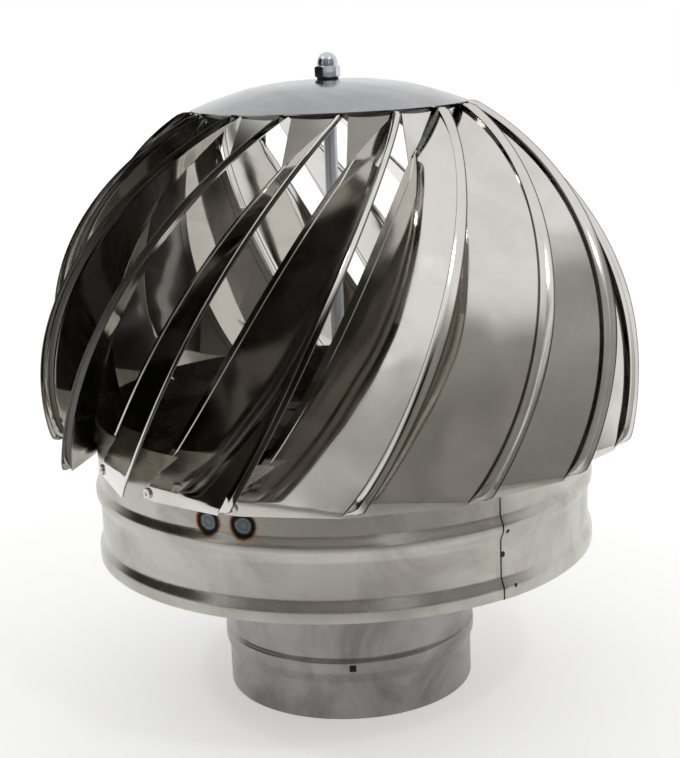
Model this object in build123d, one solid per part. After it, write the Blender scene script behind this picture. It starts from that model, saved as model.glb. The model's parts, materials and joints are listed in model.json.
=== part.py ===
from build123d import *
import os
from math import cos, degrees, hypot, radians, sin, sqrt, tan

# Roof turbine ventilator: a fixed pipe spigot with a bearing post inside, and a ball-shaped wind rotor.
# Millimetres. The origin is the centre of the spigot's lower end, +Z is up and -Y is the front.
# Angles round the axis are measured from the front (-Y), positive towards +X.

# Sheet and plate thicknesses
pipe_sheet = 0.8
drum_sheet = 0.8
cap_sheet = 0.8
blade_sheet = 0.6
ring_sheet = 0.8
spider_sheet = 1.5
bracket_plate = 2.0

# Fixed spigot: plain end that enters the flue, a rolled bead, then the pipe that rises inside the drum
pipe_radius = 75.0
insertion_length = 23.0
bead_slope = 6.0
bead_width = 7.0
bead_step = 1.5
bead_height = 2.0
pipe_height = 128.0
tie_hole = 4.0
tie_hole_angle = 0.5

# Rotor drum, from its lower edge up
drum_radius = 147.5
drum_base = 90.5
drum_bead_height = 2.5
lower_bead_width = 6.5
upper_bead_width = 4.0
bead_flare = 5.0
drum_waist = 22.0
upper_bead_taper = 4.0
collar_height = 39.0

# Closing ring under the drum
ring_rise = 0.9
ring_flange = 5.0
ring_clearance = 4.0

# Blade cage
blade_count = 16
foot_level = 57.5
foot_flat = 8.0
foot_rise = 6.0
rim_level = 259.5
rim_radius = 80.0
belly_level = 97.5
belly_radius = 174.0
root_inset = 4.0
waist_level = 154.5
waist_reach = 113.3
rim_reach = 14.7
sheet_lead = 73.0
inner_foot = 6.6
inner_waist = 42.0
inner_waist_level = 109.0
knee_offset = 73.5
knee_drop = 28.0
strip_raise = 2.5
strip_width = 9.0
strip_tip_width = 4.0
strip_start = 10.0
strip_end_slope = 6.0
strip_gap = 0.5
facet_gap = 2.0
facet_lap = 1.5
edge_stations = 6
edge_slope_step = 0.5
pad_width = 16.0
pad_height = 10.0

# Blade rivets
rivet_head_radius = 3.1
rivet_head_height = 1.2
rivet_offset = 11.9
rivet_level = 3.8

# Cap: a cone outside, a shallower one inside, and a flat seat for the nut
cap_slope_rise = 10.4
cap_slope_run = 31.0
cap_crown_rise = 4.0
cap_seat_radius = 12.0

# Bearing post inside the pipe
bracket_level = 58.0
bracket_hub_radius = 24.0
bracket_arm_width = 18.0
bracket_tab_height = 16.0
bracket_arm_angle = 34.5
bracket_rivet_radius = 2.0
bracket_rivet_head = 4.0
bracket_rivet_height = 1.2
arm_count = 3
housing_wall = 3.0
housing_rim = 2.0
bearing_bore = 4.0
bearing_outer = 11.0
bearing_width = 7.0
inner_ring_wall = 2.0
bearing_gap = 0.05
bearing_spacing = 34.0
spacer_wall = 1.8
plate_hole_clearance = 2.0

# Spindle and its nuts
spindle_radius = 4.0
spindle_tail = 2.5
nut_flats = 13.0
nut_height = 6.5
washer_height = 1.0
seal_radius = 6.2
seal_height = 1.2
acorn_flats = 13.0
acorn_hex_height = 6.5
acorn_dome_radius = 6.0
acorn_dome_wall = 2.4
acorn_dome_height = 7.7
acorn_dome_share = 0.86
acorn_turn = -20.5
thread_engagement = 11.0

# Spider that carries the drum on the spindle
spider_level = 148.5
spider_hub_radius = 20.0
spider_arm_width = 24.0
spider_tab_width = 35.0
spider_tab_height = 12.0
spider_arm_angle = -25.5

# Levels that follow from the sizes above
foot_z = drum_base + foot_level
bend_z = foot_z + foot_flat
rim_z = drum_base + rim_level
belly_z = drum_base + belly_level
waist_z = drum_base + waist_level
inner_waist_z = drum_base + inner_waist_level
knee_z = rim_z - knee_drop
drum_bead_rises = [lower_bead_width, bead_flare, drum_waist, bead_flare, upper_bead_width]
drum_rises = drum_bead_rises + [upper_bead_taper, collar_height]
drum_levels = [drum_base + sum(drum_rises[:count]) for count in range(len(drum_rises) + 1)]
drum_top_z = drum_levels[-1]
drum_inner = drum_radius - drum_sheet
pipe_inner = pipe_radius - pipe_sheet
pitch = 360 / blade_count
turn_to_front = -90

# Meridian of the ball that the blade edges lie on: one arc whose tangent is upright at the belly
rim_drop = rim_z - belly_z
ball_width = belly_radius - rim_radius
ball_shift = (rim_drop**2 + rim_radius**2 - belly_radius**2) / (2 * ball_width)
ball_arc = belly_radius + ball_shift


def ball_radius(z):
    return sqrt(ball_arc**2 - (z - belly_z) ** 2) - ball_shift


def circle_through(a, b, c):
    """Centre and radius of the circle through three points."""
    d = 2 * (a[0] * (b[1] - c[1]) + b[0] * (c[1] - a[1]) + c[0] * (a[1] - b[1]))
    aa = a[0] ** 2 + a[1] ** 2
    bb = b[0] ** 2 + b[1] ** 2
    cc = c[0] ** 2 + c[1] ** 2
    x = (aa * (b[1] - c[1]) + bb * (c[1] - a[1]) + cc * (a[1] - b[1])) / d
    y = (aa * (c[0] - b[0]) + bb * (a[0] - c[0]) + cc * (b[0] - a[0])) / d
    return x, y, hypot(a[0] - x, a[1] - y)


# Each blade is rolled about a level line. In the blade's own frame X is the way the panel faces,
# Y runs along the roll and Z is up, and the roll's section is a circle through foot, waist and rim.
blade_face = drum_radius + blade_sheet
blade_top = rim_z - cap_sheet
roll_x, roll_z, roll_radius = circle_through(
    (blade_face, bend_z), (waist_reach, waist_z), (rim_reach, blade_top)
)


def sheet_reach(z):
    """How far the panel's outer face stands from the axis, measured along the way it faces."""
    return roll_x + sqrt(roll_radius**2 - (z - roll_z) ** 2) if z > bend_z else blade_face


def root_point(z, out=0.0):
    """A point on the panel's outer edge, moved out square to that edge by a given width."""
    def offset_at(level):
        return sqrt((ball_radius(level) - root_inset) ** 2 - sheet_reach(level) ** 2)

    low = max(z - edge_slope_step, foot_z)
    high = min(z + edge_slope_step, blade_top)
    slope = (offset_at(high) - offset_at(low)) / (high - low)
    length = sqrt(1 + slope**2)
    return offset_at(z) + out / length, z - out * slope / length


def about_axis(angle):
    """Turns a shape drawn on +X to an angle measured from the front."""
    return Rot(0, 0, angle + turn_to_front)


def revolved(points):
    """A ring swept round the axis from a closed outline of radii and levels."""
    return revolve(Plane.XZ * make_face(Polyline(*points, close=True)), Axis.Z)


def sheet_ring(outer, sheet):
    """A rolled wall: the outer outline from bottom to top, with the sheet on its inside."""
    inner = [(r - sheet, z) for r, z in reversed(outer)]
    return revolved(outer + inner)


def disc(radius, z, height, bore=0.0):
    """A round plate or bush from level z up."""
    plate = Circle(radius) - Circle(bore) if bore else Circle(radius)
    return Pos(0, 0, z) * extrude(plate, height)


def make_spigot():
    """Fixed pipe with its stop bead, a tie hole in the bead and the bracket's rivet holes."""
    top_of_slope = insertion_length + bead_slope
    top_of_bead = top_of_slope + bead_width
    wall = sheet_ring(
        [
            (pipe_radius, 0),
            (pipe_radius, insertion_length),
            (pipe_radius + bead_height, top_of_slope),
            (pipe_radius + bead_height, top_of_bead),
            (pipe_radius, top_of_bead + bead_step),
            (pipe_radius, pipe_height),
        ],
        pipe_sheet,
    )
    punch = Box(pipe_radius, tie_hole, tie_hole, align=(Align.MIN, Align.CENTER, Align.CENTER))
    lift = top_of_slope + bead_width / 2
    wall -= about_axis(tie_hole_angle) * Pos(pipe_radius / 2, 0, lift) * punch
    return wall - bracket_rivet_holes()


def make_drum():
    """Rolled drum: a bead, a waist, a second bead and the plain collar that carries the blades."""
    bead = drum_radius + drum_bead_height
    radii = [bead, bead, drum_radius, drum_radius, bead, bead, drum_radius, drum_radius]
    return sheet_ring(list(zip(radii, drum_levels)), drum_sheet)


def make_bottom_ring():
    """Closing ring inside the drum's lower bead, with a turned-up flange."""
    rim = drum_inner + drum_bead_height
    floor = drum_base + ring_rise
    hole = pipe_radius + ring_clearance
    return revolved(
        [
            (hole, floor),
            (rim, floor),
            (rim, floor + ring_flange),
            (rim - ring_sheet, floor + ring_flange),
            (rim - ring_sheet, floor + ring_sheet),
            (hole, floor + ring_sheet),
        ]
    )


slope_end = rim_radius - cap_slope_run
cap_top_z = rim_z + cap_slope_rise + cap_crown_rise


def cap_outline(drop):
    """Radii and levels from the rim to the centre, a sheet or nothing below the outer face."""
    return [
        (rim_radius, rim_z - drop),
        (slope_end, rim_z + cap_slope_rise - drop),
        (cap_seat_radius, cap_top_z - drop),
    ]


def make_cap():
    """Pressed cap with a hole for the spindle."""
    hole = [(spindle_radius, cap_top_z), (spindle_radius, cap_top_z - cap_sheet)]
    return revolved(cap_outline(0) + hole + cap_outline(cap_sheet)[::-1])


def roll_section(low, high):
    """Section of the rolled sheet, a flat foot and then the arc, lifted off the panel by low to high."""
    face = blade_face + high
    depth = high - low + blade_sheet
    arc = Pos(roll_x, roll_z) * (Circle(roll_radius + high) - Circle(roll_radius + high - depth))
    tall = blade_top - bend_z
    upper = Pos(face / 2, bend_z + tall / 2) * Rectangle(face, tall)
    foot = Pos(face - depth / 2, (foot_z + bend_z) / 2) * Rectangle(depth, foot_flat)
    return Plane.XZ * ((arc & upper) + foot)


def rolled_sheet(outline, low=0.0, high=0.0):
    """The rolled sheet trimmed to an outline drawn as the panel faces."""
    sheet = extrude(roll_section(low, high), belly_radius, both=True)
    trim = extrude(Plane.YZ * outline, belly_radius + strip_raise)
    return sheet & trim


strip_foot_z = foot_z + strip_start
strip_top_z = blade_top - strip_gap


def edge_line(low, out_low=0.0, out_high=0.0):
    """Points up the blade's outer edge beside the strip, moved out by a width that tapers."""
    points = []
    for index in range(edge_stations + 1):
        share = index / edge_stations
        level = low + share * (strip_top_z - low)
        points.append(root_point(level, out_low + share**2 * (out_high - out_low)))
    return points


def make_panel():
    """The main panel: outer edge on the ball, inner edge a hollow arc from the foot to the knee."""
    corner = [(inner_foot, foot_z), (pad_width, foot_z), root_point(foot_z + foot_rise)]
    outer = Polyline(*corner, *edge_line(strip_foot_z), root_point(blade_top))
    knee = (knee_offset, knee_z)
    inner = ThreePointArc(knee, (inner_waist, inner_waist_z), (inner_foot, foot_z))
    return rolled_sheet(make_face(Wire([*outer.edges(), Line(outer @ 1, knee), inner])))


def make_strip():
    """The raised edge strip and the joggle that lifts it off the panel."""
    near = edge_line(strip_foot_z)
    wall = edge_line(strip_foot_z, blade_sheet, blade_sheet)
    far = edge_line(strip_foot_z + strip_end_slope, strip_width, strip_tip_width)

    def band(outer):
        return make_face(Polyline(*near, *reversed(outer), close=True))

    return rolled_sheet(band(wall), 0, strip_raise) + rolled_sheet(band(far), strip_raise, strip_raise)


def make_facet():
    """The flat plate that closes the top between this tip and the tip before it, up to the cap."""
    side, level = root_point(blade_top)
    tip = Vector(sheet_reach(blade_top), side, level)
    turn = facet_gap / hypot(tip.X, tip.Y) - radians(pitch)
    before = Vector(tip.X * cos(turn) - tip.Y * sin(turn), tip.X * sin(turn) + tip.Y * cos(turn), level)
    knee = Vector(sheet_reach(knee_z), knee_offset, knee_z)
    across = (tip - before).normalized() * facet_lap
    up = ((tip + before) / 2 - knee).normalized() * facet_lap
    face = Face(Wire.make_polygon([before, before + up + across, tip + up + across, knee + across, knee]))
    inward = face.normal_at() * (-1 if face.normal_at().Z > 0 else 1)
    return extrude(face, blade_sheet, dir=inward)


def sector(shape, start, end):
    """The part of a ring between two angles of the blade's own frame."""
    reach = belly_radius
    half_width = reach * tan(radians(end - start) / 2)
    wedge = make_face(Polyline((0, 0), (reach, -half_width), (reach, half_width), close=True))
    return shape & (Rot(0, 0, (start + end) / 2) * extrude(wedge, rim_z))


def make_pad():
    """The foot of the blade, curved to lie on the drum."""
    start = degrees(inner_foot / 2 / drum_radius)
    end = degrees((pad_width + inner_foot / 2) / drum_radius)
    return sector(disc(blade_face, foot_z, pad_height, drum_radius), start, end)


def cap_room():
    """Everything above the underside of the cap."""
    top = cap_top_z + rim_radius
    return revolved(cap_outline(cap_sheet) + [(0, cap_top_z - cap_sheet), (0, top), (rim_radius, top)])


def make_blade():
    drum_room = disc(drum_radius, 0, drum_top_z)
    blade = make_panel() + make_strip() + make_facet()
    return (blade - drum_room - cap_room()) + make_pad()


def place_blade(shape, index):
    """Turns a shape drawn in the blade's own frame to its place in the cage."""
    return Rot(0, 0, turn_to_front - sheet_lead + index * pitch) * shape


def make_blade_rivets():
    """The head of one blind rivet on each blade's foot."""
    head = extrude(Plane.YZ * Circle(rivet_head_radius), rivet_head_height)
    seat = Pos(blade_face, rivet_offset, foot_z + rivet_level) * head
    return [place_blade(seat, index) for index in range(blade_count)]


def arms(shape, first):
    """An arm drawn on +X, repeated evenly round the axis."""
    placed = [about_axis(first + index * 360 / arm_count) * shape for index in range(arm_count)]
    return placed[0] + placed[1:]


def flat_arm(length, width, z, height):
    """A level bar from the axis out to a radius."""
    bar = Box(length, width, height, align=(Align.MIN, Align.CENTER, Align.MIN))
    return Pos(0, 0, z) * bar


def make_spider():
    """Three-armed spider: the hub sits on the spindle and the turned-down tabs are welded to the drum."""
    top = spider_level + spider_sheet
    half = degrees(spider_tab_width / 2 / drum_inner)
    bar = flat_arm(drum_radius, spider_arm_width, spider_level, spider_sheet) & disc(drum_inner, 0, top)
    wall = disc(drum_inner, top - spider_tab_height, spider_tab_height, drum_inner - spider_sheet)
    arm = bar + sector(wall, -half, half)
    hub = disc(spider_hub_radius, spider_level, spider_sheet)
    return hub + arms(arm, spider_arm_angle) - disc(spindle_radius, spider_level, spider_sheet)


bracket_top = bracket_level + bracket_plate
tab_rivet_z = bracket_top + bracket_tab_height / 2


def bracket_rivet_holes():
    """Holes through the pipe and the bracket's tabs."""
    hole = extrude(Plane.YZ * Circle(bracket_rivet_radius), pipe_radius + bead_height)
    return arms(Pos(0, 0, tab_rivet_z) * hole, bracket_arm_angle)


def make_bracket():
    """Three-armed bearing bracket riveted to the inside of the pipe."""
    half = degrees(bracket_arm_width / 2 / pipe_inner)
    bar = flat_arm(pipe_radius, bracket_arm_width, bracket_level, bracket_plate)
    bar = bar & disc(pipe_inner, bracket_level, bracket_plate)
    wall = disc(pipe_inner, bracket_level, bracket_tab_height + bracket_plate, pipe_inner - bracket_plate)
    arm = bar + sector(wall, -half, half)
    hub = disc(bracket_hub_radius, bracket_level, bracket_plate)
    hole = disc(nut_reach + plate_hole_clearance, bracket_level, bracket_plate)
    return hub + arms(arm, bracket_arm_angle) - hole - bracket_rivet_holes()


def make_bracket_rivets():
    """Rivets with a head outside the pipe and a set end inside the tab."""
    inner_face = pipe_inner - bracket_plate
    inner_end = inner_face - bracket_rivet_height
    outer_end = pipe_radius + bracket_rivet_height
    clamped = disc(pipe_radius, 0, pipe_height, inner_face)

    def pin(radius):
        return Pos(inner_end, 0, tab_rivet_z) * extrude(Plane.YZ * Circle(radius), outer_end - inner_end)

    rivet = pin(bracket_rivet_head) - clamped + pin(bracket_rivet_radius)
    return [about_axis(bracket_arm_angle + index * 360 / arm_count) * rivet for index in range(arm_count)]


# The bearing post stands on the bracket, and the stack of rotor pieces is clamped along the spindle
lower_bearing_z = bracket_top
upper_bearing_z = lower_bearing_z + bearing_width + bearing_spacing
housing_top = upper_bearing_z + bearing_width + housing_rim
nut_reach = nut_flats / sqrt(3)
inner_ring_radius = bearing_bore + inner_ring_wall
washer_radius = inner_ring_radius
spindle_base = lower_bearing_z - washer_height - nut_height - spindle_tail
spindle_top = cap_top_z + seal_height + thread_engagement


def make_housing():
    """Tube that holds both bearings, standing on the bracket."""
    return disc(bearing_outer + housing_wall, bracket_top, housing_top - bracket_top, bearing_outer)


def make_outer_ring(z):
    """Outer ring with its seals, which run just clear of the inner ring."""
    return disc(bearing_outer, z, bearing_width, inner_ring_radius + bearing_gap)


def make_inner_ring(z):
    """Inner ring, a sliding fit on the spindle."""
    return disc(inner_ring_radius, z, bearing_width, bearing_bore)


def make_spacer():
    """Tube on the spindle that keeps the two inner rings apart."""
    z = lower_bearing_z + bearing_width
    return disc(spindle_radius + spacer_wall, z, upper_bearing_z - z, spindle_radius)


def hex_nut(z):
    """A plain hexagon nut from level z up."""
    blank = RegularPolygon(nut_flats / 2, 6, major_radius=False)
    return Pos(0, 0, z) * extrude(blank - Circle(spindle_radius), nut_height)


def make_spindle():
    """Threaded rod that turns in the bearings and carries the spider and the cap."""
    return disc(spindle_radius, spindle_base, spindle_top - spindle_base)


def make_spindle_nuts():
    """Five equal nuts: lock nut, thrust nut, one each side of the spider, and one under the cap."""
    levels = [
        lower_bearing_z - washer_height - nut_height,
        upper_bearing_z + bearing_width + washer_height,
        spider_level - nut_height,
        spider_level + spider_sheet,
        cap_top_z - cap_sheet - washer_height - nut_height,
    ]
    return [hex_nut(z) for z in levels]


def make_bearing_washers():
    """Narrow washers that bear on the inner rings only."""
    levels = [lower_bearing_z - washer_height, upper_bearing_z + bearing_width]
    return [disc(washer_radius, z, washer_height, spindle_radius) for z in levels]


def make_cap_washer():
    """Wide washer that backs the cap's seat from below."""
    return disc(cap_seat_radius, cap_top_z - cap_sheet - washer_height, washer_height, spindle_radius)


def make_seal():
    """Rubber washer between the cap and the domed nut."""
    return disc(seal_radius, cap_top_z, seal_height, spindle_radius)


def make_acorn_nut():
    """Domed nut: a hexagon below and a turned dome above, blind to the spindle's end."""
    base = cap_top_z + seal_height
    shoulder = base + acorn_hex_height
    crown = shoulder + acorn_dome_wall
    top = shoulder + acorn_dome_height
    blank = RegularPolygon(acorn_flats / 2, 6, major_radius=False, rotation=acorn_turn)
    hexagon = Pos(0, 0, base) * extrude(blank, acorn_hex_height)
    dome = revolved(
        [
            (0, shoulder),
            (acorn_dome_radius, shoulder),
            (acorn_dome_radius, crown),
            (acorn_dome_radius * acorn_dome_share, (crown + top) / 2),
            (acorn_dome_radius / 2, top),
            (0, top),
        ]
    )
    return hexagon + dome - disc(spindle_radius, base, spindle_top - base)


def save(shape, name):
    """Writes one piece."""
    export_step(shape, f"parts/{name}.step")


os.makedirs("parts", exist_ok=True)

save(make_spigot(), "spigot")
save(make_bracket(), "bearing_bracket")
save(Compound(children=make_bracket_rivets()), "bracket_rivets")
save(make_housing(), "bearing_housing")
save(make_outer_ring(lower_bearing_z), "lower_bearing_outer_ring")
save(make_outer_ring(upper_bearing_z), "upper_bearing_outer_ring")

save(make_inner_ring(lower_bearing_z), "lower_bearing_inner_ring")
save(make_inner_ring(upper_bearing_z), "upper_bearing_inner_ring")
save(make_spacer(), "bearing_spacer")
save(make_spindle(), "spindle")
save(Compound(children=make_spindle_nuts()), "spindle_nuts")
save(Compound(children=make_bearing_washers()), "bearing_washers")
save(make_spider(), "rotor_spider")
save(make_drum(), "drum")
save(make_bottom_ring(), "drum_bottom_ring")
save(make_cap(), "cap")
save(make_cap_washer(), "cap_washer")
save(make_seal(), "sealing_washer")
save(make_acorn_nut(), "acorn_nut")
save(Compound(children=make_blade_rivets()), "blade_rivets")

blade = make_blade()
for index in range(blade_count):
    save(place_blade(blade, index), f"blade_{index + 1:02d}")
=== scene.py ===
# %% [markdown]
# # Roof turbine ventilator
# A wind-driven flue cowl in stainless steel. A ball of sixteen raked blades stands on a wide drum, and the whole
# head spins on a bearing post inside a fixed pipe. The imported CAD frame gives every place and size, and this
# notebook dresses it: smooth sheet-metal walls, a mirror polish, rolled beads, rivets and the domed nut on top.

# %% Load the frame
import json
from math import atan2, cos, hypot, pi, radians, sin, sqrt

import bpy
from mathutils import Matrix, Vector


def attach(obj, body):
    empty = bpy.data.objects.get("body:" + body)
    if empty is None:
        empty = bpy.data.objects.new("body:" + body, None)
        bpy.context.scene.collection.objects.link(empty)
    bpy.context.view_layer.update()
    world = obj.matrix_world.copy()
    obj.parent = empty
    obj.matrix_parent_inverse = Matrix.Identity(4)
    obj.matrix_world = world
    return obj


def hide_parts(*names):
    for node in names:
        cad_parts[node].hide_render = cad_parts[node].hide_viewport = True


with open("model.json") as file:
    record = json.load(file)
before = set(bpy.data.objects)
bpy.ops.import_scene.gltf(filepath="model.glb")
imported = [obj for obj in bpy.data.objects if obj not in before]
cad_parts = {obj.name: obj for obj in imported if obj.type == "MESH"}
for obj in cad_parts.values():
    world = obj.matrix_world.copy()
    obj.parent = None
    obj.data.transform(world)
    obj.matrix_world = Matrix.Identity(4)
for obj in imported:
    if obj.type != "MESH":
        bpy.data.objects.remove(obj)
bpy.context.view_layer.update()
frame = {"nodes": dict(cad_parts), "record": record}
MM = 0.001

# %% [markdown]
# ## Helpers
# Three small helpers serve every cell. One clears the selection, because an operator acts on all that is
# selected. One turns a hex colour into the linear values that shaders use. One adds a shader node with its
# settings and links, so that a material reads as a list of steps. There a key is an input's name or number, and
# any other key is a property of the node.

# %% Selection, colour and node helpers
def deselect():
    if bpy.context.object and bpy.context.object.mode != "OBJECT":
        bpy.ops.object.mode_set(mode="OBJECT")
    bpy.ops.object.select_all(action="DESELECT")


def to_linear(code):
    channels = [int(code[i : i + 2], 16) / 255 for i in (1, 3, 5)]
    return [c / 12.92 if c <= 0.04045 else ((c + 0.055) / 1.055) ** 2.4 for c in channels] + [1.0]


def add_node(tree, kind, settings=None, links=None):
    node = tree.nodes.new(kind)
    for key, value in (settings or {}).items():
        if isinstance(key, int) or key in node.inputs:
            node.inputs[key].default_value = value
        else:
            setattr(node, key, value)
    for key, source in (links or {}).items():
        tree.links.new(source, node.inputs[key])
    return node


print("helpers ready")

# %% [markdown]
# ## The rolled sheet of a blade
# Each blade is flat sheet, rolled about a level line into part of a large drum, then trimmed so that its outer
# edge lies on the ball. In the blade's own frame X is the way the panel faces, Y runs along the roll and Z is up.
# These are the same sizes as in the CAD model, in millimetres. Three points fix the roll, and three more fix the
# curve of the inner edge.

# %% Blade sizes
pitch = 360 / 16
drum_radius = 147.5
blade_sheet = 0.6
foot_z = 148.0
bend_z = 156.0
corner_z = 154.0
knee_z = 322.0
rim_z = 350.0
rim_radius = 80.0
blade_top = 349.2
belly_z = 188.0
belly_radius = 174.0
root_inset = 4.0
blade_face = drum_radius + blade_sheet
sheet_lead = 73.0
roll_middle, roll_top = (113.3, 245.0), (14.7, blade_top)
inner_foot, inner_middle, inner_knee = (6.6, foot_z), (42.0, 199.5), (73.5, knee_z)


def circle_through(a, b, c):
    """Centre and radius of the circle through three points."""
    d = 2 * (a[0] * (b[1] - c[1]) + b[0] * (c[1] - a[1]) + c[0] * (a[1] - b[1]))
    aa, bb, cc = (p[0] ** 2 + p[1] ** 2 for p in (a, b, c))
    x = (aa * (b[1] - c[1]) + bb * (c[1] - a[1]) + cc * (a[1] - b[1])) / d
    y = (aa * (c[0] - b[0]) + bb * (a[0] - c[0]) + cc * (b[0] - a[0])) / d
    return x, y, hypot(a[0] - x, a[1] - y)


roll_x, roll_z, roll_radius = circle_through((blade_face, bend_z), roll_middle, roll_top)
inner_u, inner_z, inner_radius = circle_through(inner_foot, inner_middle, inner_knee)
ball_shift = ((rim_z - belly_z) ** 2 + rim_radius**2 - belly_radius**2) / (2 * (belly_radius - rim_radius))
print("roll radius", round(roll_radius, 1), "inner edge radius", round(inner_radius, 1))

# %% [markdown]
# ## Edges of the blade
# The outer edge is where the rolled sheet meets the ball, so it needs no drawing: it follows from the two radii.
# The inner edge is an arc up to the knee, then runs straight to the tip. A facet closes the top corner, and it
# ends just short of the blade before.

# %% Blade curves
facet_gap = 2.0


def reach(z, lift=0.0):
    """Distance of the sheet's outer face from the axis, the way the panel faces."""
    if z <= bend_z:
        return blade_face + lift
    return roll_x + sqrt((roll_radius + lift) ** 2 - (z - roll_z) ** 2)


def outer_edge(z):
    """Distance of the panel's outer edge from its middle line, on the ball."""
    ball = sqrt((belly_radius + ball_shift) ** 2 - (z - belly_z) ** 2) - ball_shift - root_inset
    return sqrt(ball**2 - reach(z) ** 2)


def outer_point(z, out):
    """A point beside the panel's outer edge, moved out square to it."""
    low, high = max(z - 0.5, foot_z), min(z + 0.5, blade_top)
    slope = (outer_edge(high) - outer_edge(low)) / (high - low)
    length = sqrt(1 + slope**2)
    return outer_edge(z) + out / length, z - out * slope / length


def inner_edge(z):
    """Distance of the panel's inner edge from its middle line."""
    if z <= knee_z:
        return inner_u + sqrt(inner_radius**2 - (z - inner_z) ** 2)
    return inner_knee[0] + (outer_edge(blade_top) - inner_knee[0]) * (z - knee_z) / (blade_top - knee_z)


tip = Vector((reach(blade_top), outer_edge(blade_top), blade_top))
before = Matrix.Rotation(radians(-pitch) + facet_gap / hypot(tip.x, tip.y), 3, "Z") @ tip
knee = Vector((reach(knee_z), inner_edge(knee_z), knee_z))
print("tip", [round(v, 1) for v in tip], "knee", [round(v, 1) for v in knee])

# %% [markdown]
# ## One blade
# A grid primitive has the right topology for pressed sheet: its rows become levels and its columns run up the
# blade. The columns carry the section: the facet under the cap, the hem on the inner edge, the panel, the joggle
# that lifts the edge, and the raised strip with its faint crease. Each vertex is then moved to its place on the
# rolled sheet, which no single operator could do, and Solidify gives the sheet its thickness. An attribute marks
# the joggle and the sheared outer edge of the strip, where the material paints a thin dark line of shade.

# %% Section of the blade
facet_columns = 4
panel_columns = 18
hem_width = 4.5
hem_lift = 0.5
strip_lift = 2.5
belly_trim = 1.3  # the strip is this much narrower at the belly, where the ball is widest
belly_span = 60.0
strip_run_in = 9.0  # height over which the strip widens from the sharp corner
lift_run_in = 14.0  # height over which it rises to its full lift
foot_flat = 0.14  # share of the foot that stays level on the drum
hem_run_in = 20.0
hem_start, hem_end = foot_z + 12, knee_z + 10
# Each pair is the distance out from the panel's edge and the share of the lift there.
strip_section = [(0.15, 0.0), (0.3, 0.55), (0.45, 1.0), (2.6, 1.0), (4.4, 1.12), (4.7, 1.08), (9.0, 1.0)]
rows = 84


def smooth(x):
    """Eases from 0 to 1 with no corner at either end."""
    x = min(max(x, 0.0), 1.0)
    return x * x * (3 - 2 * x)


def foot_line(share):
    """The lower edge rises from the drum to the sharp outer corner."""
    return foot_z + (corner_z - foot_z) * max(0.0, (share - foot_flat) / (1 - foot_flat))


def hem_at(z, width):
    """The hem fades out at both ends, and is never more than two fifths of the panel."""
    fade_in, fade_out = smooth((z - hem_start) / hem_run_in), smooth((hem_end - z) / hem_run_in)
    return min(hem_width, 0.4 * width) * fade_in * fade_out


def strip_point(z, out, rise):
    """The strip tapers to half its width at the cap, and its joggle keeps its own width."""
    full = smooth((z - corner_z) / lift_run_in)
    if out > 1:
        out *= 1 - 0.5 * smooth((z - belly_z) / (blade_top - belly_z)) ** 2
    side, level = outer_point(z, out * smooth((z - corner_z - 1) / strip_run_in))
    level = min(level, blade_top)
    return Vector((reach(level, strip_lift * rise * full), side, level))


def blade_point(row, column):
    up = row / rows
    count = panel_columns + 3
    if column < facet_columns:
        z = foot_z + up * (blade_top - foot_z)
        edge = Vector((reach(z), inner_edge(z), z))
        if z <= knee_z:
            return edge
        left = knee.lerp(before, (z - knee_z) / (blade_top - knee_z))
        return left.lerp(edge, column / facet_columns)
    column -= facet_columns
    share = min(max(column - 2, 0) / panel_columns, 1.0)
    z = foot_line(share) + up * (blade_top - foot_line(share))
    left, right = inner_edge(z), outer_edge(z)
    hem = hem_at(z, right - left)
    if column < 2:
        return Vector((reach(z, hem_lift * smooth((hem - 0.2) / 2)), left + hem * column, z))
    if column < count:
        left += hem + 0.4 * min(1, hem)
        return Vector((reach(z), left + share * (right - left), z))
    out, rise = strip_section[column - count]
    if column - count == len(strip_section) - 1:
        out -= belly_trim * smooth(1 - abs(z - belly_z) / belly_span)
    return strip_point(z, out, rise)


columns = facet_columns + panel_columns + 3 + len(strip_section)
print("columns", columns, "rows", rows + 1)

# %% Make the blade
# Columns of the joggle: they and the strip's outer edge get a thin dark line of painted shade.
shade_line_first = facet_columns + panel_columns + 2
shade_line_last = shade_line_first + 3


def make_blade():
    deselect()
    bpy.ops.mesh.primitive_grid_add(x_subdivisions=columns - 1, y_subdivisions=rows, size=1)
    obj = bpy.context.object
    # The attribute marks where the material paints a thin dark line of shade.
    painted_shade_line = obj.data.attributes.new("painted_shade_line", "FLOAT", "POINT")
    for index, vertex in enumerate(obj.data.vertices):
        row, column = divmod(index, columns)
        vertex.co = blade_point(row, column) * MM
        painted_shade_line.data[index].value = float(column == columns - 1 or shade_line_first <= column <= shade_line_last)
    bpy.ops.object.mode_set(mode="EDIT")
    bpy.ops.mesh.select_all(action="SELECT")
    bpy.ops.mesh.remove_doubles(threshold=0.02 * MM)
    bpy.ops.mesh.normals_make_consistent(inside=False)
    bpy.ops.object.mode_set(mode="OBJECT")
    middle = obj.data.polygons[len(obj.data.polygons) // 2]
    if middle.normal.x < 0:
        obj.data.flip_normals()
    solid = obj.modifiers.new("sheet", "SOLIDIFY")
    solid.thickness = blade_sheet * MM
    solid.offset = -1
    bpy.ops.object.modifier_apply(modifier=solid.name)
    bpy.ops.object.shade_smooth_by_angle(angle=radians(22))
    return obj


blade = make_blade()
print("blade", len(blade.data.polygons), "faces")

# %% [markdown]
# ## The cage of sixteen
# The real blades are one pressing, repeated. So the finished blade is copied, each copy with its own mesh, and
# turned about the axis in its mesh so that the object itself stays at the origin.

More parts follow.
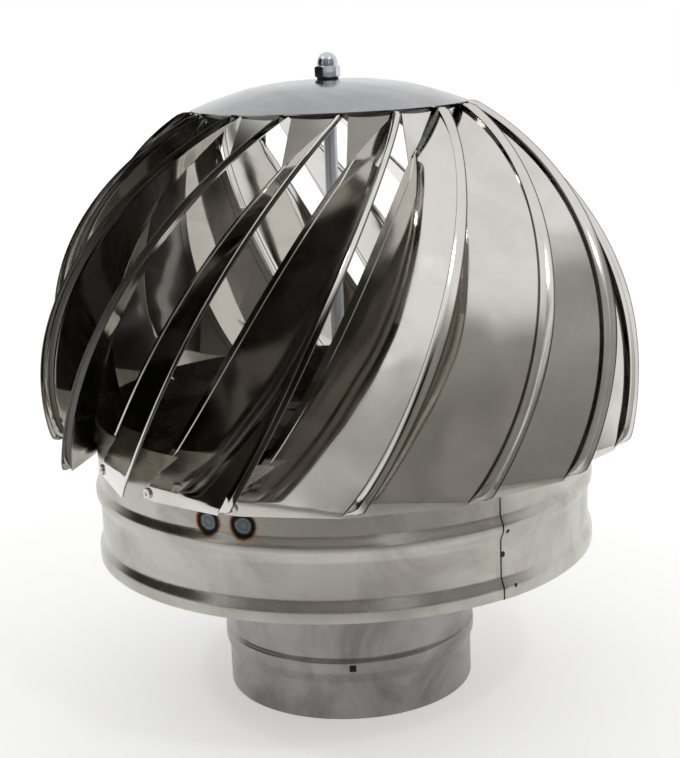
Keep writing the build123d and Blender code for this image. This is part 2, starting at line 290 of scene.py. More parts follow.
# %% Copy the blade round the cage
front = -90.0  # the direction of the camera's side, in degrees about the axis
blades = []
for index in range(16):
    copy = blade.copy()
    copy.data = blade.data.copy()
    copy.name = f"polished_blade_{index + 1:02d}"
    copy.data.name = copy.name
    bpy.context.collection.objects.link(copy)
    copy.data.transform(Matrix.Rotation(radians(front - sheet_lead + index * pitch), 4, "Z"))
    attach(copy, "rotor")
    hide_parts(f"blade_{index + 1:02d}")
    blades.append(copy)
bpy.data.objects.remove(blade)
print("blades", len(blades))

# %% [markdown]
# ## Turned walls
# The drum, the spigot and the cap are sheet rolled into rings and pressed between wheels. A circle is extruded
# level by level and resized at each one, as a wheel would push the wall out into a bead. Solidify gives the
# gauge, and a fine bevel rounds the pressed corners, since sheet never folds to a knife edge.

# %% Turned wall helper
def turned_wall(name, outline, sheet, rounding, steps=256):
    deselect()
    r, z = outline[0]
    bpy.ops.mesh.primitive_circle_add(vertices=steps, radius=r * MM, location=(0, 0, z * MM))
    obj = bpy.context.object
    obj.name = name
    bpy.ops.object.transform_apply(location=True)
    bpy.ops.object.mode_set(mode="EDIT")
    bpy.ops.mesh.select_all(action="SELECT")
    for r_next, z_next in outline[1:]:
        bpy.ops.mesh.extrude_region_move(TRANSFORM_OT_translate={"value": (0, 0, (z_next - z) * MM)})
        bpy.ops.transform.resize(value=(r_next / r, r_next / r, 1), center_override=(0, 0, z_next * MM))
        r, z = r_next, z_next
    bpy.ops.mesh.select_all(action="SELECT")
    bpy.ops.mesh.normals_make_consistent(inside=False)
    bpy.ops.object.mode_set(mode="OBJECT")
    face = obj.data.polygons[0]
    if face.normal.dot(Vector((face.center.x, face.center.y, abs(face.center.z) * 0.1))) < 0:
        obj.data.flip_normals()
    for label, kind, settings in (
        ("round", "BEVEL", {"width": rounding * MM, "segments": 3, "limit_method": "ANGLE", "angle_limit": radians(8)}),
        ("sheet", "SOLIDIFY", {"thickness": sheet * MM, "offset": -1}),
    ):
        modifier = obj.modifiers.new(label, kind)
        for key, value in settings.items():
            setattr(modifier, key, value)
        bpy.ops.object.modifier_apply(modifier=modifier.name)
    bpy.ops.object.shade_smooth_by_angle(angle=radians(30))
    return obj


def dress(obj, body, slot, *nodes):
    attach(obj, body)
    if nodes:
        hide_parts(*nodes)
    obj.data.name = obj.name


print("turned wall helper ready")

# %% [markdown]
# ## Drum
# Two rolled beads stiffen the drum: a full one at its lower edge and a narrower one under the blades' feet. The
# sheet's ends lap at one side, and the outer end stands nearly one gauge proud there. Each pair in an outline is a
# radius and a level, in millimetres.

# %% Drum
drum = turned_wall(
    "rolled_drum",
    [(150, 90.5), (150, 97), (147.5, 102), (147.5, 124), (150, 129), (150, 133), (147.5, 137), (147.5, 176)],
    0.8, 1.2, steps=360,
)
seam = radians(front + 33.8)
lap_sweep, lap_proud = radians(26), 0.7 * MM
for vertex in drum.data.vertices:
    x, y, z = vertex.co
    behind = (atan2(y, x) - seam) % (2 * pi)
    if behind < lap_sweep and z < foot_z * MM:
        grown = 1 + lap_proud * (1 - smooth(behind / lap_sweep)) / hypot(x, y)
        vertex.co = Vector((x * grown, y * grown, z))
dress(drum, "rotor", "mill_stainless", "drum")
print("drum", len(drum.data.polygons), "faces")

# %% [markdown]
# ## Spigot
# The plain lower end enters the flue until the bead meets it. A square hole in the bead takes a tie, and it is
# cut with a boolean, as a punch would.

# %% Spigot
spigot = turned_wall(
    "spigot_pipe",
    [(75, 0), (75, 12), (75, 23), (77, 29), (77, 36), (75, 37.5), (75, 80), (75, 128)],
    0.8, 0.7,
)
deselect()
hole_side, bead_middle, bead_face = 4.0, 32.5, 76.0
punch_angle = radians(front + 0.5)
punch_place = Vector((bead_face * cos(punch_angle), bead_face * sin(punch_angle), bead_middle)) * MM
bpy.ops.mesh.primitive_cube_add(size=hole_side * MM, location=punch_place)
punch = bpy.context.object
cut = spigot.modifiers.new("tie_hole", "BOOLEAN")
cut.object = punch
cut.solver = "EXACT"
bpy.context.view_layer.objects.active = spigot
bpy.ops.object.modifier_apply(modifier=cut.name)
bpy.data.objects.remove(punch)
dress(spigot, "base", "mill_stainless", "spigot")
print("spigot", len(spigot.data.polygons), "faces")

# %% [markdown]
# ## Cap
# The cap is a shallow pressed dome. Its rim lies on the blades' tips, and a flat seat at the centre takes the
# rubber washer and the domed nut. The dome is extruded inwards ring by ring.

# %% Cap
cap = turned_wall(
    "domed_cap",
    [(80, 350), (70, 353.8), (60, 357), (49, 360.2), (38, 362.2), (26, 363.7), (12, 364.4), (4, 364.4)],
    0.8, 0.5,
)
dress(cap, "rotor", "polished_stainless", "cap")
print("cap", len(cap.data.polygons), "faces")

# %% [markdown]
# ## Domed nut and rubber washer
# A domed nut is a chamfered hexagon with a turned dome on it. The hexagon's corners are cut back by keeping only
# what it shares with a turned blank, which gives the curved chamfers of a real nut. The dome is a turned form.

# %% Turned solid helper
def turned_solid(name, outline, steps=96):
    deselect()
    r, z = outline[0]
    bpy.ops.mesh.primitive_circle_add(vertices=steps, radius=r * MM, location=(0, 0, z * MM), fill_type="NGON")
    obj = bpy.context.object
    obj.name = name
    bpy.ops.object.transform_apply(location=True)
    bpy.ops.object.mode_set(mode="EDIT")
    bpy.ops.mesh.select_all(action="SELECT")
    for r_next, z_next in outline[1:]:
        bpy.ops.mesh.extrude_region_move(TRANSFORM_OT_translate={"value": (0, 0, (z_next - z) * MM)})
        bpy.ops.transform.resize(value=(r_next / r, r_next / r, 1), center_override=(0, 0, z_next * MM))
        r, z = r_next, z_next
    bpy.ops.mesh.select_all(action="SELECT")
    bpy.ops.mesh.normals_make_consistent(inside=False)
    bpy.ops.object.mode_set(mode="OBJECT")
    return obj


def bevel_edges(obj, width, segments=3, angle=30):
    deselect()
    bpy.context.view_layer.objects.active = obj
    obj.select_set(True)
    modifier = obj.modifiers.new("edge", "BEVEL")
    modifier.width = width * MM
    modifier.segments = segments
    modifier.limit_method = "ANGLE"
    modifier.angle_limit = radians(angle)
    bpy.ops.object.modifier_apply(modifier=modifier.name)
    bpy.ops.object.shade_smooth_by_angle(angle=radians(30))


print("turned solid and bevel helpers ready")

# %% Domed nut
nut_base, nut_hex, across_flats, nut_turn = 365.6, 6.5, 13.0, -20.5
dome_radius, dome_rise, dome_neck = 6.0, 6.1, 1.6
shoulder = nut_base + nut_hex
deselect()
bpy.ops.mesh.primitive_cylinder_add(
    vertices=6, radius=across_flats / sqrt(3) * MM, depth=nut_hex * MM,
    location=(0, 0, (nut_base + nut_hex / 2) * MM), rotation=(0, 0, radians(nut_turn)),
)
nut = bpy.context.object
nut.name = "domed_nut"
bpy.ops.object.transform_apply(location=True, rotation=True)
blank_outline = [(6.5, nut_base), (7.5, nut_base + 0.7), (7.5, nut_base + 5.8), (6.3, shoulder)]
blank = turned_solid("nut_blank", blank_outline)
shared = nut.modifiers.new("chamfer", "BOOLEAN")
shared.operation = "INTERSECT"
shared.object = blank
deselect()
bpy.context.view_layer.objects.active = nut
bpy.ops.object.modifier_apply(modifier=shared.name)
bpy.data.objects.remove(blank)
dome_foot = shoulder + dome_neck
turns = [(dome_radius, shoulder - 0.2), (dome_radius, dome_foot)]
turns += [(dome_radius * cos(a), dome_foot + dome_rise * sin(a)) for a in (radians(10 * k) for k in range(1, 9))]
dome = turned_solid("nut_dome", turns + [(0.2, dome_foot + dome_rise)])
deselect()
nut.select_set(True)
dome.select_set(True)
bpy.context.view_layer.objects.active = nut
bpy.ops.object.join()
bevel_edges(nut, 0.15, 2, 25)
dress(nut, "rotor", "zinc_plated_steel", "acorn_nut")
print("nut", len(nut.data.polygons), "faces, top at", round(dome_foot + dome_rise, 1))

# %% Rubber washer
cap_crown = 364.4
washer = turned_solid("rubber_washer", [(6.2, cap_crown), (6.2, nut_base)])
bevel_edges(washer, 0.3)
dress(washer, "rotor", "black_rubber", "sealing_washer")
print("washer", len(washer.data.polygons), "faces")

# %% [markdown]
# ## Blind rivets
# One rivet pins each blade's foot to the drum. A set blind rivet has a low domed head with a small pit where the
# mandrel broke off: a cylinder whose face is inset and pushed in, with its outer edge bevelled round.

# %% One rivet
head_radius, head_height = 3.1, 1.3
pit_rim, pit_depth = 2.0, 0.5
deselect()
bpy.ops.mesh.primitive_cylinder_add(
    vertices=32, radius=head_radius * MM, depth=head_height * MM, location=(0, 0, head_height / 2 * MM)
)
rivet = bpy.context.object
bpy.ops.object.transform_apply(location=True)
bpy.ops.object.mode_set(mode="EDIT")
bpy.ops.mesh.select_mode(type="FACE")
bpy.ops.mesh.select_all(action="DESELECT")
bpy.ops.object.mode_set(mode="OBJECT")
for face in rivet.data.polygons:
    face.select = face.normal.z > 0.9
bpy.ops.object.mode_set(mode="EDIT")
bpy.ops.mesh.inset(thickness=pit_rim * MM)
bpy.ops.mesh.extrude_region_move(TRANSFORM_OT_translate={"value": (0, 0, -pit_depth * MM)})
bpy.ops.object.mode_set(mode="OBJECT")
bevel_edges(rivet, 0.75, 4, 40)
print("rivet", len(rivet.data.polygons), "faces")

# %% A rivet for each foot
rivet_aside, rivet_up = 11.9, 3.8
rivets = []
for index in range(16):
    copy = rivet.copy()
    copy.data = rivet.data.copy()
    bpy.context.collection.objects.link(copy)
    place = Vector((blade_face, rivet_aside, foot_z + rivet_up)) * MM
    seat = Matrix.Translation(place) @ Matrix.Rotation(pi / 2, 4, "Y")
    copy.data.transform(Matrix.Rotation(radians(front - sheet_lead + index * pitch), 4, "Z") @ seat)
    rivets.append(copy)
bpy.data.objects.remove(rivet)
deselect()
for copy in rivets:
    copy.select_set(True)
bpy.context.view_layer.objects.active = rivets[0]
bpy.ops.object.join()
rivets = bpy.context.object
rivets.name = "blind_rivets"
dress(rivets, "rotor", "rivet_stainless", "blade_rivets")
print("rivets", len(rivets.data.polygons), "faces")

# %% [markdown]
# ## Mirror-polished stainless steel
# The blades are sheet with a polished finish, pressed after polishing. The metal is neutral and a hair warm, and
# nearly all that the eye sees is reflection. Pressing leaves the mirror wavy, with crests a hand's width apart,
# and wiping along the blade leaves thin streaks of haze. One helper makes every bare metal here, because they
# differ only in tone, gloss, waviness and haze.

# %% Bare metal helper
haze_mm = 35.7  # a wipe of a thumb


def new_metal(name, colour, roughness, ripple_mm, ripple_depth, haze, grain=(1, 1, 1)):
    """Ripple is the sheet's waviness, and haze is what wiping adds to its roughness in places."""
    material = bpy.data.materials.new(name)
    material.use_nodes = True
    tree = material.node_tree
    tree.nodes.clear()
    place = add_node(tree, "ShaderNodeTexCoord")
    ripple = add_node(
        tree, "ShaderNodeTexNoise", {"Scale": 1000 / ripple_mm, "Detail": 2.0, "Roughness": 0.3},
        {"Vector": place.outputs["Object"]},
    )
    bump = add_node(
        tree, "ShaderNodeBump", {"Strength": 1.0, "Distance": ripple_depth * MM},
        {"Height": ripple.outputs["Fac"]},
    )
    stretch = add_node(tree, "ShaderNodeMapping", {"Scale": grain}, {"Vector": place.outputs["Object"]})
    smear = add_node(
        tree, "ShaderNodeTexNoise", {"Scale": 1000 / haze_mm, "Detail": 6.0, "Roughness": 0.62, "Distortion": 0.6},
        {"Vector": stretch.outputs["Vector"]},
    )
    gloss = add_node(
        tree, "ShaderNodeMapRange",
        {"From Min": 0.35, "From Max": 0.75, "To Min": roughness, "To Max": roughness + haze},
        {"Value": smear.outputs["Fac"]},
    )
    shader = add_node(
        tree, "ShaderNodeBsdfPrincipled", {"Base Color": to_linear(colour), "Metallic": 1.0},
        {"Roughness": gloss.outputs["Result"], "Normal": bump.outputs["Normal"]},
    )
    add_node(tree, "ShaderNodeOutputMaterial", links={"Surface": shader.outputs["BSDF"]})
    return material, tree, place, shader


print("bare metal helper ready")

# %% [markdown]
# ## Handling marks
# Bare sheet is never one tone. Fingers and cloths leave grey and brown smudges, which are drawn as a soft noise
# that mixes a second tone into the colour.

# %% Smudged sheet
TONE_A, TONE_B, MIXED = 6, 7, 2  # the Mix node's colour sockets: its two inputs and its output
smudge_mm = 58.8  # a palm's print


def smudged_metal(name, colour, smudge, roughness, ripple_mm, ripple_depth, haze, grain=(1, 1, 1), strength=0.6):
    material, tree, place, shader = new_metal(name, colour, roughness, ripple_mm, ripple_depth, haze, grain)
    cloud = add_node(
        tree, "ShaderNodeTexNoise", {"Scale": 1000 / smudge_mm, "Detail": 7.0, "Roughness": 0.58, "Distortion": 1.4},
        {"Vector": place.outputs["Object"]},
    )
    amount = add_node(
        tree, "ShaderNodeMapRange", {"From Min": 0.42, "From Max": 0.72, "To Min": 0.0, "To Max": strength},
        {"Value": cloud.outputs["Fac"]},
    )
    tone = add_node(
        tree, "ShaderNodeMix", {"data_type": "RGBA", TONE_A: to_linear(colour), TONE_B: to_linear(smudge)},
        {0: amount.outputs["Result"]},
    )
    tree.links.new(tone.outputs[MIXED], shader.inputs["Base Color"])
    return material, tree, place, tone, shader


print("smudged sheet helper ready")

# %% [markdown]
# ## The blades' finish
# The blades get the brightest metal and faint smudges. Beside the bright strip, along the joggle and along the
# sheared outer edge, a thin dark line of painted shade is mixed into the colour, and the attribute in the blade's
# mesh says where it goes.

# %% Polished sheet with painted shade beside the strip
polished, tree, place, tone, shader = smudged_metal(
    "mirror_polished_stainless", "#D6D3CE", "#B4B0A9", 0.045, 95, 2.8, 0.08, (1, 1, 0.12), 0.4
)
shade_line_mark = add_node(tree, "ShaderNodeAttribute", {"attribute_name": "painted_shade_line"})
shade_line_strength = add_node(
    tree, "ShaderNodeMapRange",
    {"interpolation_type": "SMOOTHSTEP", "From Min": 0.72, "From Max": 0.92, "To Max": 0.85},
    {"Value": shade_line_mark.outputs["Fac"]},
)
# Painted shade: a near-black tone mixed in along the joggle and the strip's outer edge.
shade_line_mixed = add_node(
    tree, "ShaderNodeMix", {"data_type": "RGBA", TONE_B: to_linear("#23201E")},
    {0: shade_line_strength.outputs["Result"], TONE_A: tone.outputs[MIXED]},
)
tree.links.new(shade_line_mixed.outputs[MIXED], shader.inputs["Base Color"])
print("polished finish nodes", len(tree.nodes))

# %% [markdown]
# ## Rolled stainless steel
# The drum, the spigot and the cap are sheet as the mill's polished rolls leave it. The rolls give it a short, soft
# grain, so it blurs what it mirrors into bands, and its smudges show more than on the blades.

# %% Rolled sheet
# Bright annealed sheet, a little warm: the drum.
rolled, drum_tree, drum_place, drum_tone, drum_shader = smudged_metal(
    "bright_rolled_stainless", "#BDBAB3", "#8B877E", 0.2, 90, 0.8, 0.14, (1, 1, 2.5)
)
# Duller sheet, cloudy where it was handled: the pipe. Its tone is set darker than the drum's steel as painted shade low
# down by the ground.
pipe = smudged_metal("pipe_stainless_painted_shade", "#9A9997", "#646361", 0.26, 70, 0.8, 0.12, (1, 1, 3.0), 0.8)[0]
# Pressed and buffed sheet, cooler and glossier, with broad faint clouds: the cap.
cap_metal = smudged_metal("bright_cap_stainless", "#9EA0A2", "#808285", 0.13, 60, 1.0, 0.12, strength=0.8)[0]
print("rolled steel ready")

# %% [markdown]
# ## Spot welds
# The three arms of the spider are spot-welded to the drum, two welds to an arm. Each weld leaves a grey disc
# pressed by the electrode, then rings of heat tint: dark blue, brown and straw. Folding the angle round the axis
# into one third, and that third into one half, draws all six welds from one.

# %% Distance from the nearest weld
arm_angle, weld_aside, weld_level = radians(front - 25.5), radians(4.07), 142.5
wobble_mm = 4.17  # the tint's outline wanders by a ripple of this size
split = add_node(drum_tree, "ShaderNodeSeparateXYZ", links={"Vector": drum_place.outputs["Object"]})
angle = add_node(drum_tree, "ShaderNodeMath", {"operation": "ARCTAN2"}, {0: split.outputs["Y"], 1: split.outputs["X"]})
turned = add_node(
    drum_tree, "ShaderNodeMath", {"operation": "SUBTRACT", 1: arm_angle}, {0: angle.outputs["Value"]}
)
arm = add_node(
    drum_tree, "ShaderNodeMath", {"operation": "WRAP", 1: radians(60), 2: radians(-60)}, {0: turned.outputs["Value"]}
)
half = add_node(drum_tree, "ShaderNodeMath", {"operation": "ABSOLUTE"}, {0: arm.outputs["Value"]})
across = add_node(
    drum_tree, "ShaderNodeMath", {"operation": "MULTIPLY_ADD", 1: drum_radius, 2: -weld_aside * drum_radius},
    {0: half.outputs["Value"]},
)
up = add_node(
    drum_tree, "ShaderNodeMath", {"operation": "MULTIPLY_ADD", 1: 1000.0, 2: -weld_level}, {0: split.outputs["Z"]}
)
from_weld = add_node(drum_tree, "ShaderNodeCombineXYZ", links={"X": across.outputs["Value"], "Y": up.outputs["Value"]})
distance = add_node(drum_tree, "ShaderNodeVectorMath", {"operation": "LENGTH"}, {0: from_weld.outputs["Vector"]})
wobble = add_node(
    drum_tree, "ShaderNodeTexNoise", {"Scale": 1000 / wobble_mm}, {"Vector": drum_place.outputs["Object"]}
)
shift = add_node(
    drum_tree, "ShaderNodeMath", {"operation": "MULTIPLY_ADD", 1: 1.6, 2: -0.8}, {0: wobble.outputs["Fac"]}
)
weld = add_node(
    drum_tree, "ShaderNodeMath", {"operation": "ADD"}, {0: distance.outputs["Value"], 1: shift.outputs["Value"]}
)
print("weld distance nodes", len(drum_tree.nodes))

# %% Heat tint
tint_reach = 12.0
scaled = add_node(drum_tree, "ShaderNodeMath", {"operation": "DIVIDE", 1: tint_reach}, {0: weld.outputs["Value"]})
heat = add_node(drum_tree, "ShaderNodeValToRGB", links={"Fac": scaled.outputs["Value"]})
rings = [
    (0.0, "#7C8489"), (0.26, "#5E676C"), (0.30, "#8A9296"), (0.36, "#4B5257"), (0.44, "#1D1B28"),
    (0.52, "#2A1E24"), (0.60, "#6A4424"), (0.68, "#B48F5C"), (0.80, "#C8BCA6"),
]
heat.color_ramp.elements[0].color = to_linear(rings[0][1])
heat.color_ramp.elements[1].position = rings[-1][0]
heat.color_ramp.elements[1].color = to_linear(rings[-1][1])
for position, tint in rings[1:-1]:
    heat.color_ramp.elements.new(position).color = to_linear(tint)
inside = add_node(
    drum_tree, "ShaderNodeMapRange", {"From Min": 9.5, "From Max": 7.0, "To Min": 0.0, "To Max": 1.0},
    {"Value": weld.outputs["Value"]},
)
tinted = add_node(
    drum_tree, "ShaderNodeMix", {"data_type": "RGBA"},
    {0: inside.outputs["Result"], TONE_A: drum_tone.outputs[MIXED], TONE_B: heat.outputs["Color"]},
)
print("heat tint stops", len(rings))

# %% [markdown]
# ## The drum's lap seam
# The drum's ends meet in a dark line below the blades' feet, held by small pressed dimples, which are drawn only as
# discs of painted shade. Each is a mask of 0 or 1, and the strongest mask wins before one dark tone is mixed in.

# %% Seam and dimples
seam_width, dimple_radius, dimple_face = 0.84, 1.9, 149.0
seam_line = add_node(
    drum_tree, "ShaderNodeMath", {"operation": "COMPARE", 1: seam, 2: seam_width / 2 / drum_radius},
    {0: angle.outputs["Value"]},
)
seam_top = (foot_z - 0.4) * MM
below = add_node(drum_tree, "ShaderNodeMath", {"operation": "LESS_THAN", 1: seam_top}, {0: split.outputs["Z"]})
dark = add_node(
    drum_tree, "ShaderNodeMath", {"operation": "MULTIPLY"}, {0: seam_line.outputs["Value"], 1: below.outputs["Value"]}
)
# Painted shade: each dimple is a dark disc standing for the shade in its hollow.
for azimuth, level in ((35.0, 129.0), (34.2, 115.5), (37.0, 96.4)):
    a = radians(front + azimuth)
    middle = Vector((dimple_face * cos(a), dimple_face * sin(a), level)) * MM
    dimple = add_node(
        drum_tree, "ShaderNodeVectorMath", {"operation": "DISTANCE", 1: middle}, {0: drum_place.outputs["Object"]}
    )
    dimple_shade = add_node(
        drum_tree, "ShaderNodeMath", {"operation": "LESS_THAN", 1: dimple_radius * MM}, {0: dimple.outputs["Value"]}
    )
    dark = add_node(
        drum_tree, "ShaderNodeMath", {"operation": "MAXIMUM"}, {0: dark.outputs["Value"], 1: dimple_shade.outputs["Value"]}
    )
finished = add_node(
    drum_tree, "ShaderNodeMix", {"data_type": "RGBA", TONE_B: to_linear("#37322C")},
    {0: dark.outputs["Value"], TONE_A: tinted.outputs[MIXED]},
)
drum_tree.links.new(finished.outputs[MIXED], drum_shader.inputs["Base Color"])
print("drum finish nodes", len(drum_tree.nodes))

# %% [markdown]
# ## Plating, plate, bearing steel and rubber
# The fasteners are zinc plated, which is cooler and bluer than stainless. The plates inside are plain sheet, the
# bearing rings are ground, and the rivets are bright. The washer is moulded rubber: nearly black, matt, with a fine
# grain and a little dust that lightens it in spots.

# %% Small metals
# Bright zinc with a clear chromate film: bluish, with a soft sheen.
zinc = new_metal("bright_zinc_plating", "#C4CAD2", 0.16, 20, 0.05, 0.1)[0]
# Plain cold-rolled plate: grey, with a blurred shine.
plate = new_metal("plain_stainless_plate", "#A9A7A2", 0.3, 60, 0.2, 0.1)[0]
# Ground and honed bearing steel: even and neutral, with a sharp shine.
ground = new_metal("ground_bearing_steel", "#B5B5B3", 0.12, 30, 0.02, 0.05)[0]
# Drawn wire, headed cold: small bright points.
bright = new_metal("bright_rivet_steel", "#D0CECB", 0.1, 20, 0.02, 0.05)[0]
print("small metals ready")

# %% Rubber
# Moulded nitrile rubber: nearly black, with no shine, greyed by dust.
rubber_grain_mm = 2.5
rubber = bpy.data.materials.new("black_rubber_seal")
rubber.use_nodes = True
tree = rubber.node_tree
body = tree.nodes["Principled BSDF"]
body.inputs["Roughness"].default_value = 0.7
place = add_node(tree, "ShaderNodeTexCoord")
dust = add_node(
    tree, "ShaderNodeTexNoise", {"Scale": 1000 / rubber_grain_mm, "Detail": 4.0, "Roughness": 0.7},
    {"Vector": place.outputs["Object"]},
)
dusty = add_node(
    tree, "ShaderNodeMix", {"data_type": "RGBA", TONE_A: to_linear("#0E0E0E"), TONE_B: to_linear("#2B2A29")},
    {0: dust.outputs["Fac"]},
)
tree.links.new(dusty.outputs[MIXED], body.inputs["Base Color"])
grain = add_node(
    tree, "ShaderNodeBump", {"Strength": 0.4, "Distance": 0.05 * MM}, {"Height": dust.outputs["Fac"]}
)
tree.links.new(grain.outputs["Normal"], body.inputs["Normal"])
print("materials", len(bpy.data.materials))

# %% [markdown]
# ## Give each piece its finish
# The dressed pieces take their metal first. The CAD pieces that stay in view, such as the bracket and the spindle,
# take theirs from the material named in the record, so that nothing shows bare.

# %% Assign the finishes
finishes = {
    "mill_stainless": rolled, "polished_stainless": polished, "plate_steel": plate,
    "zinc_plated_steel": zinc, "bearing_steel": ground, "rivet_stainless": bright, "black_rubber": rubber,
}
for piece, material in [
    (drum, rolled), (spigot, pipe), (cap, cap_metal), (nut, zinc), (washer, rubber), (rivets, bright),
    *((blade, polished) for blade in blades),
]:
    piece.data.materials.clear()
    piece.data.materials.append(material)
for part in frame["record"]["subparts"]:
    obj = frame["nodes"][part["node"]]
    for slot in obj.material_slots:
        slot.material = pipe if part["node"] == "bearing_housing" else finishes[part["material_slot"]]
print("finishes given to", len(frame["nodes"]), "nodes")

# %% [markdown]
# ## Floor
# A mirror shows the room, so the room is part of the finish. The floor is white round the object and behind it,
# and falls off to grey in front, where the mirrors on the lower blades look. To the camera it is pale all over.
# It adds its white only for the camera and for what metal shows, and none inside the pipe, which stays dark.

# %% Stage helpers
def stage_plane(name, size, location, rotation):
    deselect()
    bpy.ops.mesh.primitive_plane_add(size=1, location=location, rotation=rotation)
    obj = bpy.context.object
    obj.name = name
    obj.scale = (*size, 1)
    material = bpy.data.materials.new(name + "_surface")
    material.use_nodes = True
    tree = material.node_tree
    shader = tree.nodes["Principled BSDF"]
    shader.inputs["Roughness"].default_value = 0.9
    shader.inputs["Specular IOR Level"].default_value = 0.0
    obj.data.materials.append(material)
    return obj, tree, shader, add_node(tree, "ShaderNodeTexCoord")


def sees_background(tree):
    """1 for the camera and for what metal or glass shows, 0 for the light that falls on things."""
    path = add_node(tree, "ShaderNodeLightPath")
    mirrored = add_node(
        tree, "ShaderNodeMath", {"operation": "MAXIMUM"},
        {0: path.outputs["Is Glossy Ray"], 1: path.outputs["Is Transmission Ray"]},
    )
    seen = add_node(
        tree, "ShaderNodeMath", {"operation": "MAXIMUM"},
        {0: path.outputs["Is Camera Ray"], 1: mirrored.outputs["Value"]},
    )
    return path, seen.outputs["Value"]


print("stage helpers ready")

# %% Floor
floor_width = 12.0
floor_white, floor_grey = to_linear("#F4F4F4"), to_linear("#C3C1BE")
grey_from, grey_by = -0.15, -0.7  # how far in front the floor starts to darken, and where it is all grey
show_white = 0.42
pipe_bore = 0.0745
floor, tree, shader, place = stage_plane("floor", (floor_width, floor_width), (0, 0, 0), (0, 0, 0))
split = add_node(tree, "ShaderNodeSeparateXYZ", links={"Vector": place.outputs["Object"]})
fade = add_node(
    tree, "ShaderNodeMapRange",
    {"interpolation_type": "SMOOTHSTEP", "From Min": grey_from / floor_width, "From Max": grey_by / floor_width},
    {"Value": split.outputs["Y"]},
)
tone = add_node(
    tree, "ShaderNodeMix", {"data_type": "RGBA", TONE_A: floor_white, TONE_B: floor_grey}, {0: fade.outputs["Result"]}
)
tree.links.new(tone.outputs[MIXED], shader.inputs["Base Color"])
path, seen = sees_background(tree)
greyed = add_node(
    tree, "ShaderNodeMath", {"operation": "SUBTRACT"}, {0: fade.outputs["Result"], 1: path.outputs["Is Camera Ray"]}
)
kept = add_node(
    tree, "ShaderNodeMapRange", {"From Min": 1.0, "From Max": 0.0, "To Max": show_white},
    {"Value": greyed.outputs["Value"]},
)
centre = add_node(tree, "ShaderNodeVectorMath", {"operation": "LENGTH"}, {0: place.outputs["Object"]})
outside = add_node(
    tree, "ShaderNodeMath", {"operation": "GREATER_THAN", 1: pipe_bore / floor_width}, {0: centre.outputs["Value"]}
)
shown = add_node(tree, "ShaderNodeMath", {"operation": "MULTIPLY"}, {0: seen, 1: outside.outputs["Value"]})
strength = add_node(
    tree, "ShaderNodeMath", {"operation": "MULTIPLY"}, {0: shown.outputs["Value"], 1: kept.outputs["Result"]}
)
shader.inputs["Emission Color"].default_value = to_linear("#FFFFFF")
tree.links.new(strength.outputs["Value"], shader.inputs["Emission Strength"])
print(floor.name, floor_width, "m wide")

# %% [markdown]
# ## Cloths
# A dark cloth on the left gives the deep tones between the blades there. Grey cloths in front and on the right
# tone the blades that face that way. Their folds are only painted: bands of a second tone stand for the light
# and shade on folds, and each cloth is painted lighter towards its top as painted light from above. They thin
# out raggedly at their sides and top, so that the mirrors show no hard corner. The camera doesn't see them.

# %% Ragged edge helper
rag = 0.3  # how far the edge wanders, as a share of the cloth


def ragged_edge(tree, place, wave):
    """Returns the cloth's own coordinates, shaken by the folds, and how solid the cloth is: 1 inside, 0 at its edge."""
    drift = add_node(
        tree, "ShaderNodeVectorMath", {"operation": "MULTIPLY_ADD", 1: (rag, rag, 0), 2: (-rag / 2, -rag / 2, 0)},
        {0: wave.outputs["Color"]},
    )
    shaken = add_node(
        tree, "ShaderNodeVectorMath", {"operation": "ADD"}, {0: place.outputs["Object"], 1: drift.outputs["Vector"]}
    )
    split = add_node(tree, "ShaderNodeSeparateXYZ", links={"Vector": shaken.outputs["Vector"]})
    aside = add_node(tree, "ShaderNodeMath", {"operation": "ABSOLUTE"}, {0: split.outputs["X"]})
    sides = add_node(
        tree, "ShaderNodeMapRange", {"interpolation_type": "SMOOTHSTEP", "From Min": 0.49, "From Max": 0.3},
        {"Value": aside.outputs["Value"]},
    )
    top = add_node(
        tree, "ShaderNodeMapRange", {"interpolation_type": "SMOOTHSTEP", "From Min": 0.49, "From Max": 0.15},
        {"Value": split.outputs["Y"]},
    )
    solid = add_node(
        tree, "ShaderNodeMath", {"operation": "MULTIPLY"}, {0: sides.outputs["Result"], 1: top.outputs["Result"]}
    )
    return split, solid.outputs["Value"]


print("ragged edge helper ready")

# %% Cloths
cloth_base = 0.02


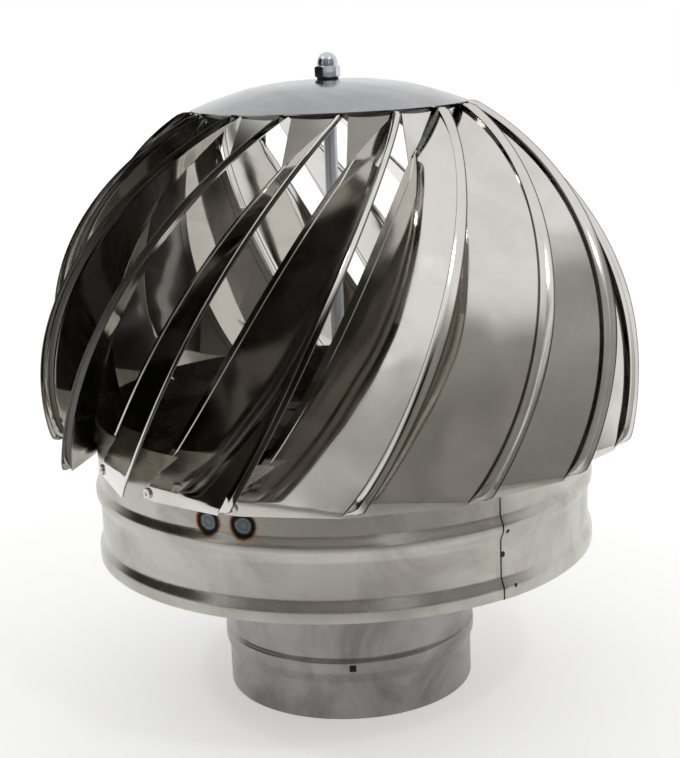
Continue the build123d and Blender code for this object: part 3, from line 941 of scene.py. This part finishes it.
def hang_cloth(name, azimuth, distance, width, height, colour, fold_light_colour, top_light_colour, folds):
    """Hangs upright, facing the object. Azimuth 0 is the camera's side and negative is to the left."""
    a = radians(azimuth)
    centre = (distance * sin(a), -distance * cos(a), cloth_base + height / 2)
    cloth, tree, shader, place = stage_plane(name, (width, height), centre, (pi / 2, 0, a))
    cloth.visible_camera = False
    stretch = add_node(
        tree, "ShaderNodeMapping", {"Scale": (width * folds, height * 0.7, 1)}, {"Vector": place.outputs["Object"]}
    )
    # Painted light and shade of folds: this noise mixes bands of a second tone into the cloth.
    wave = add_node(
        tree, "ShaderNodeTexNoise", {"Scale": 1.0, "Detail": 3.0, "Roughness": 0.5, "Distortion": 0.5},
        {"Vector": stretch.outputs["Vector"]},
    )
    amount = add_node(tree, "ShaderNodeMapRange", {"From Min": 0.4, "From Max": 0.65}, {"Value": wave.outputs["Fac"]})
    fold_lit = add_node(
        tree, "ShaderNodeMix", {"data_type": "RGBA", TONE_A: to_linear(colour), TONE_B: to_linear(fold_light_colour)},
        {0: amount.outputs["Result"]},
    )
    split, solid = ragged_edge(tree, place, wave)
    # Painted light: the cloth grows lighter towards its top.
    rise = add_node(
        tree, "ShaderNodeMapRange", {"interpolation_type": "SMOOTHSTEP", "From Min": -0.25, "From Max": 0.4},
        {"Value": split.outputs["Y"]},
    )
    tone = add_node(
        tree, "ShaderNodeMix", {"data_type": "RGBA", TONE_B: to_linear(top_light_colour)},
        {0: rise.outputs["Result"], TONE_A: fold_lit.outputs[MIXED]},
    )
    tree.links.new(tone.outputs[MIXED], shader.inputs["Base Color"])
    tree.links.new(solid, shader.inputs["Alpha"])


hang_cloth("cloth_left", -89, 1.7, 2.3, 2.0, "#0B0A09", "#544E46", "#1C1917", 3.0)
hang_cloth("cloth_front", -18, 1.75, 3.2, 2.8, "#9A9792", "#BDBAB5", "#D2D0CC", 5.0)
hang_cloth("cloth_right", 53, 1.7, 2.3, 2.9, "#BBB9B5", "#D2D0CC", "#DDDBD8", 4.0)
print("stage ready")

# %% [markdown]
# ## Light
# The world is plain white, and shows as pure white to the camera and in the metal. It lights the object at a
# plain level. Two small ceiling lamps add the sparkle on the raised strips.

# %% World and lamps
world = bpy.data.worlds.new("white_surround")
bpy.context.scene.world = world
world.use_nodes = True
tree = world.node_tree
tree.nodes.clear()
plain_level = 0.72
level = add_node(
    tree, "ShaderNodeMapRange", {"To Min": plain_level, "To Max": 1.0}, {"Value": sees_background(tree)[1]}
)
glow = add_node(tree, "ShaderNodeBackground", {"Color": to_linear("#FFFFFF")}, {"Strength": level.outputs["Result"]})
add_node(tree, "ShaderNodeOutputWorld", links={"Surface": glow.outputs["Background"]})


aim_height = 0.2


def ceiling_lamp(name, azimuth, distance, height, size, power):
    light = bpy.data.lights.new(name, "AREA")
    light.shape = "DISK"
    light.size = size
    light.energy = power
    lamp = bpy.data.objects.new(name, light)
    bpy.context.collection.objects.link(lamp)
    a = radians(azimuth)
    spot = Vector((distance * sin(a), -distance * cos(a), height))
    aim = (Vector((0, 0, aim_height)) - spot).to_track_quat("-Z", "Y")
    lamp.matrix_world = Matrix.Translation(spot) @ aim.to_matrix().to_4x4()


ceiling_lamp("lamp_right", 40, 1.3, 1.9, 0.22, 3.0)
ceiling_lamp("lamp_left", -75, 1.3, 1.9, 0.22, 3.0)
print("world level", plain_level, "and two lamps")

# %% [markdown]
# ## Camera
# The camera stands a little above the cap's level, nine tenths of a metre from the axis, tipped down and rolled by
# two degrees, as a hand-held one is.

# %% Camera
focal_pixels, frame_height = 1533.1, 758
tip_down, roll = 0.2344, 0.0407
deselect()
data = bpy.data.cameras.new("camera")
data.sensor_width = 36
data.lens = focal_pixels / frame_height * data.sensor_width
camera = bpy.data.objects.new("camera", data)
bpy.context.collection.objects.link(camera)
turn = Matrix.Rotation(pi / 2 - tip_down, 4, "X") @ Matrix.Rotation(-roll, 4, "Z")
camera.matrix_world = Matrix.Translation((0, -0.9, 0.4014)) @ turn
bpy.context.scene.camera = camera
bpy.context.scene.view_settings.view_transform = "Standard"
print("lens", round(data.lens, 1))
